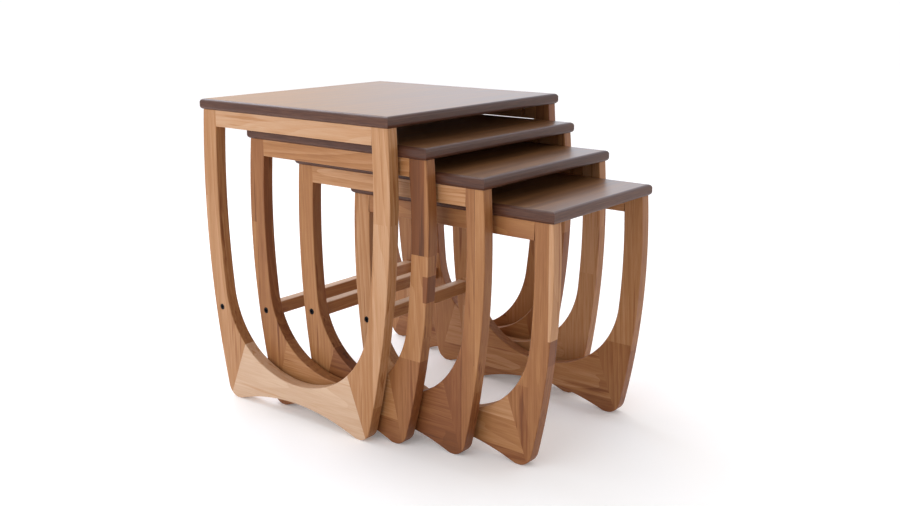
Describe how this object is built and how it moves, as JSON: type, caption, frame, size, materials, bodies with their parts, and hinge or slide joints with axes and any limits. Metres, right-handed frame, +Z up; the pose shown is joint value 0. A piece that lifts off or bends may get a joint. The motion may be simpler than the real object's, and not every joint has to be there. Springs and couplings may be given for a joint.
{
  "type": "nesting tables",
  "caption": "Stepped nest of side tables with lipped veneered tops, curved mitred side frames, arched foot rails and low rear stretchers.",
  "frame": {"origin": "middle of the footprint of the four tables in their stepped pose, at the floor", "axes": "+X across the tables to the right, +Y from the open front to the back, +Z up"},
  "size_m": [0.458, 0.6694, 0.52],
  "materials": {
    "veneered_board": "satin lacquered veneer, grain across the table",
    "lipping": "satin lacquered dark solid wood",
    "frame_wood": "satin lacquered laminated staves, grain up the legs",
    "rail_wood": "satin lacquered solid wood, grain front to back",
    "black_steel": "black oxide, semi-matt",
    "screw_steel": "zinc plated",
    "dowel_beech": "unfinished beech"
  },
  "bodies": {
    "table_1": {"table_1_top_panel": "veneered_board", "table_1_side_lippings": "lipping", "table_1_end_lippings": "lipping", "table_1_left_front_leg": "frame_wood", "table_1_left_rear_leg": "frame_wood", "table_1_left_top_rail": "frame_wood", "table_1_left_bottom_rail": "rail_wood", "table_1_right_front_leg": "frame_wood", "table_1_right_rear_leg": "frame_wood", "table_1_right_top_rail": "frame_wood", "table_1_right_bottom_rail": "rail_wood", "table_1_bolt_caps": "black_steel", "table_1_top_screws": "screw_steel", "table_1_dowels": "dowel_beech"},
    "table_2": {"table_2_top_panel": "veneered_board", "table_2_side_lippings": "lipping", "table_2_end_lippings": "lipping", "table_2_left_front_leg": "frame_wood", "table_2_left_rear_leg": "frame_wood", "table_2_left_top_rail": "frame_wood", "table_2_left_bottom_rail": "rail_wood", "table_2_right_front_leg": "frame_wood", "table_2_right_rear_leg": "frame_wood", "table_2_right_top_rail": "frame_wood", "table_2_right_bottom_rail": "rail_wood", "table_2_stretcher": "frame_wood", "table_2_stretcher_bolts": "black_steel", "table_2_top_screws": "screw_steel", "table_2_dowels": "dowel_beech"},
    "table_3": {"table_3_top_panel": "veneered_board", "table_3_side_lippings": "lipping", "table_3_end_lippings": "lipping", "table_3_left_front_leg": "frame_wood", "table_3_left_rear_leg": "frame_wood", "table_3_left_top_rail": "frame_wood", "table_3_left_bottom_rail": "rail_wood", "table_3_right_front_leg": "frame_wood", "table_3_right_rear_leg": "frame_wood", "table_3_right_top_rail": "frame_wood", "table_3_right_bottom_rail": "rail_wood", "table_3_stretcher": "frame_wood", "table_3_stretcher_bolts": "black_steel", "table_3_top_screws": "screw_steel", "table_3_dowels": "dowel_beech"},
    "table_4": {"table_4_top_panel": "veneered_board", "table_4_side_lippings": "lipping", "table_4_end_lippings": "lipping", "table_4_left_front_leg": "frame_wood", "table_4_left_rear_leg": "frame_wood", "table_4_left_top_rail": "frame_wood", "table_4_left_bottom_rail": "rail_wood", "table_4_right_front_leg": "frame_wood", "table_4_right_rear_leg": "frame_wood", "table_4_right_top_rail": "frame_wood", "table_4_right_bottom_rail": "rail_wood", "table_4_stretcher": "frame_wood", "table_4_stretcher_bolts": "black_steel", "table_4_top_screws": "screw_steel", "table_4_dowels": "dowel_beech"}
  },
  "joints": [
    {"name": "table_2_slide", "type": "slide", "parent": "table_1", "child": "table_2", "axis": [0, -1, 0], "range_m": [-0.051, 0.4]},
    {"name": "table_3_slide", "type": "slide", "parent": "table_2", "child": "table_3", "axis": [0, -1, 0], "range_m": [-0.057, 0.4]},
    {"name": "table_4_slide", "type": "slide", "parent": "table_3", "child": "table_4", "axis": [0, -1, 0], "range_m": [-0.067, 0.4]}
  ]
}
